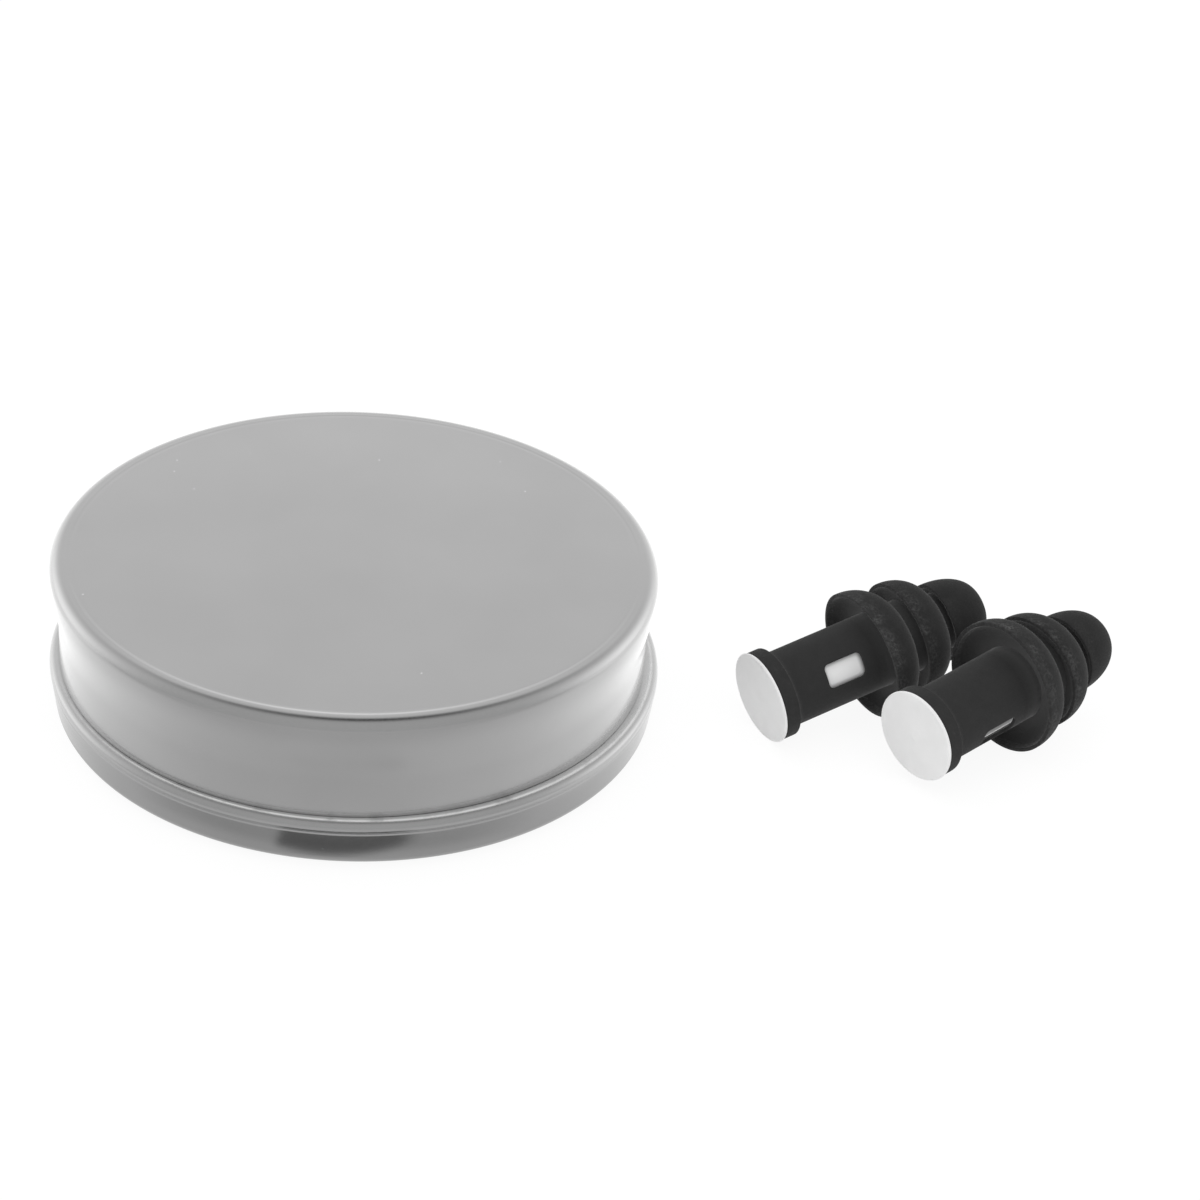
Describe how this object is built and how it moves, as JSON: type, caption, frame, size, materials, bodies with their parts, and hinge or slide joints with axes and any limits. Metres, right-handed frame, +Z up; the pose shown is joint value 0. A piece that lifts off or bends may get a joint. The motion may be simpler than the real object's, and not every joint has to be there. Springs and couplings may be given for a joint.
{
  "type": "pair of filter ear plugs with tin",
  "caption": "Reusable ear plugs with flanged silicone sleeves, side windows and end discs, lying beside their round slip-lid metal travel tin.",
  "frame": {"origin": "centre of the tin's underside, on the surface that the tin and the plugs lie on", "axes": "+Z up, +X from the tin towards the plugs, +Y away from the side that the picture is taken from"},
  "size_m": [0.1082, 0.0616, 0.0169],
  "materials": {
    "satin_metal": "satin, fine speckle",
    "black_silicone": "matte, dusty on the rims",
    "white_plastic": "smooth, slightly glossy",
    "damper_mesh": "fine woven mesh"
  },
  "bodies": {
    "tin": {"tin_base": "satin_metal"},
    "lid": {"tin_lid": "satin_metal"},
    "left_plug": {"left_sleeve": "black_silicone", "left_filter_tube": "white_plastic", "left_damper_disc": "damper_mesh"},
    "left_cap": {"left_end_cap": "white_plastic"},
    "right_plug": {"right_sleeve": "black_silicone", "right_filter_tube": "white_plastic", "right_damper_disc": "damper_mesh"},
    "right_cap": {"right_end_cap": "white_plastic"}
  },
  "joints": [
    {"name": "lid_lift", "type": "slide", "parent": "tin", "child": "lid", "axis": [0, 0, 1], "range_m": [0, 0.02]},
    {"name": "left_plug_lift", "type": "slide", "parent": "tin", "child": "left_plug", "axis": [0, 0, 1], "range_m": [0, 0.03]},
    {"name": "left_cap_pull", "type": "slide", "parent": "left_plug", "child": "left_cap", "axis": [-0.8373, -0.5192, -0.1713], "range_m": [0, 0.007]},
    {"name": "right_plug_lift", "type": "slide", "parent": "tin", "child": "right_plug", "axis": [0, 0, 1], "range_m": [0, 0.03]},
    {"name": "right_cap_pull", "type": "slide", "parent": "right_plug", "child": "right_cap", "axis": [-0.729, -0.6798, -0.0802], "range_m": [0, 0.007]}
  ]
}
